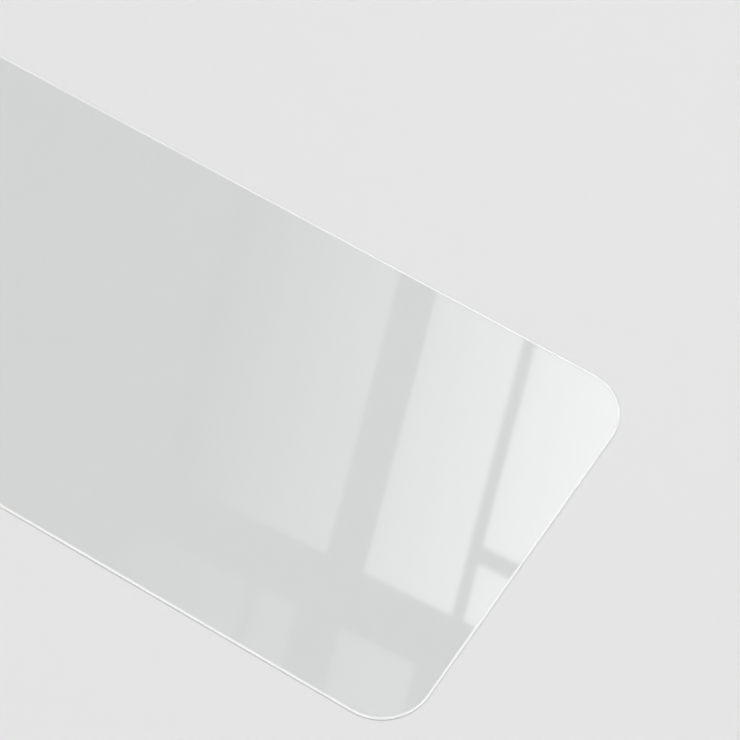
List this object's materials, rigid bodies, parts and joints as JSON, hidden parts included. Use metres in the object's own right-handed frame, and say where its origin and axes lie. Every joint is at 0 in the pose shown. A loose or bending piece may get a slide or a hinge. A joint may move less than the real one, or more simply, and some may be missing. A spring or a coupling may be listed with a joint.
{
  "type": "phone screen protector",
  "caption": "Flat clear tempered glass sheet with rounded corners and a round polished edge, laid over the front of a phone to protect its screen.",
  "frame": {"origin": "centre of the inner face, the face that goes on the screen", "axes": "+X across the sheet, +Y along it, +Z out of the outer face with the polished edge"},
  "size_m": [0.0726, 0.1526, 0.0003],
  "materials": {
    "clear_glass": "polished clear glass, very faintly cool green, with a pale polished edge"
  },
  "bodies": {
    "root": {"glass_sheet": "clear_glass"}
  },
  "joints": []
}
